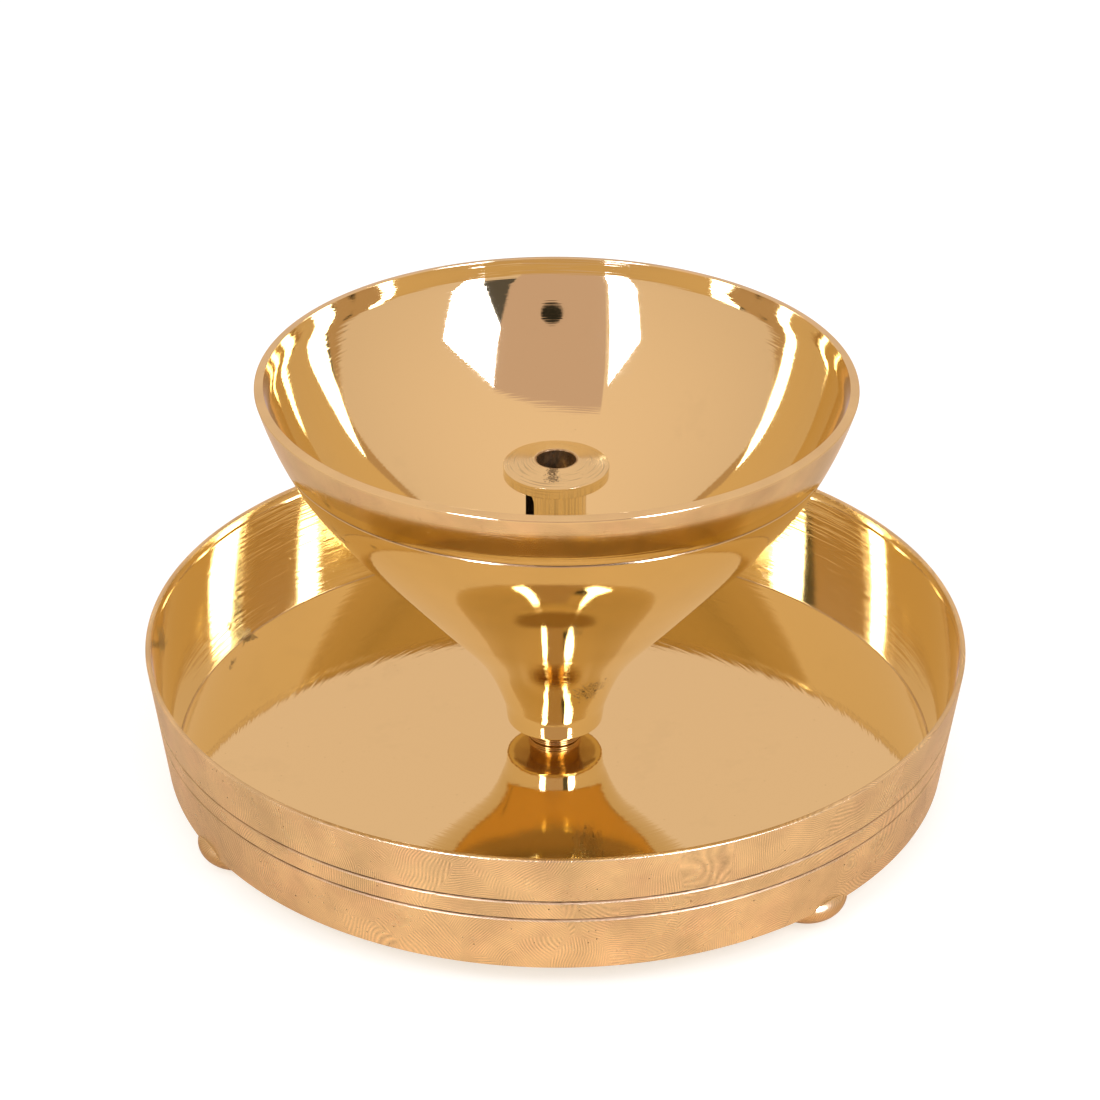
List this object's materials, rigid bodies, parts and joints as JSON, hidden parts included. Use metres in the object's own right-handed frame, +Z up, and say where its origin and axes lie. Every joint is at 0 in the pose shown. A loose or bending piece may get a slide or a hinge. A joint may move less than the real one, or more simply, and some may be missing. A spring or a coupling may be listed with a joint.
{
  "type": "diya oil lamp",
  "caption": "Turned brass oil lamp: flared bowl on a trumpet stem, screwed to a round footed tray, with a slotted wick tube.",
  "frame": {"origin": "on the table plane that the foot pads touch, on the axis that the bowl and the tray share", "axes": "+Z up along the shared axis, -Y towards the front two feet, +X to the right"},
  "size_m": [0.11, 0.11, 0.0578],
  "materials": {
    "tray_brass": "polished inside, brushed satin outside",
    "foot_brass": "cast and lightly buffed",
    "screw_brass": "turned",
    "collar_brass": "turned rings, bright",
    "bowl_brass": "mirror polished, satin band under the rim",
    "washer_brass": "turned",
    "wick_brass": "fine turned rings"
  },
  "bodies": {
    "root": {"tray": "tray_brass", "foot_front_left": "foot_brass", "foot_front_right": "foot_brass", "foot_back_right": "foot_brass", "foot_back_left": "foot_brass", "clamp_screw": "screw_brass"},
    "collar": {"collar": "collar_brass"},
    "bowl": {"bowl": "bowl_brass"},
    "wick_washer": {"wick_washer": "washer_brass"},
    "wick_tube": {"wick_tube": "wick_brass"}
  },
  "joints": [
    {"name": "bowl_rise", "type": "slide", "parent": "root", "child": "collar", "axis": [0, 0, 1], "range_m": [0, 0.006]},
    {"name": "bowl_unscrew", "type": "hinge", "parent": "collar", "child": "bowl", "pos_m": [0, 0, 0.006], "axis": [0, 0, 1], "range_deg": [0, 3060]},
    {"name": "wick_rise", "type": "slide", "parent": "bowl", "child": "wick_washer", "axis": [0, 0, 1], "range_m": [0, 0.0041]},
    {"name": "wick_unscrew", "type": "hinge", "parent": "wick_washer", "child": "wick_tube", "pos_m": [0, 0, 0.0213], "axis": [0, 0, 1], "range_deg": [0, 1440]}
  ],
  "couplings": [
    {"joint": "bowl_rise", "follows": "bowl_unscrew", "m_per_rad": 0.00011141},
    {"joint": "wick_rise", "follows": "wick_unscrew", "m_per_rad": 0.00015915}
  ]
}
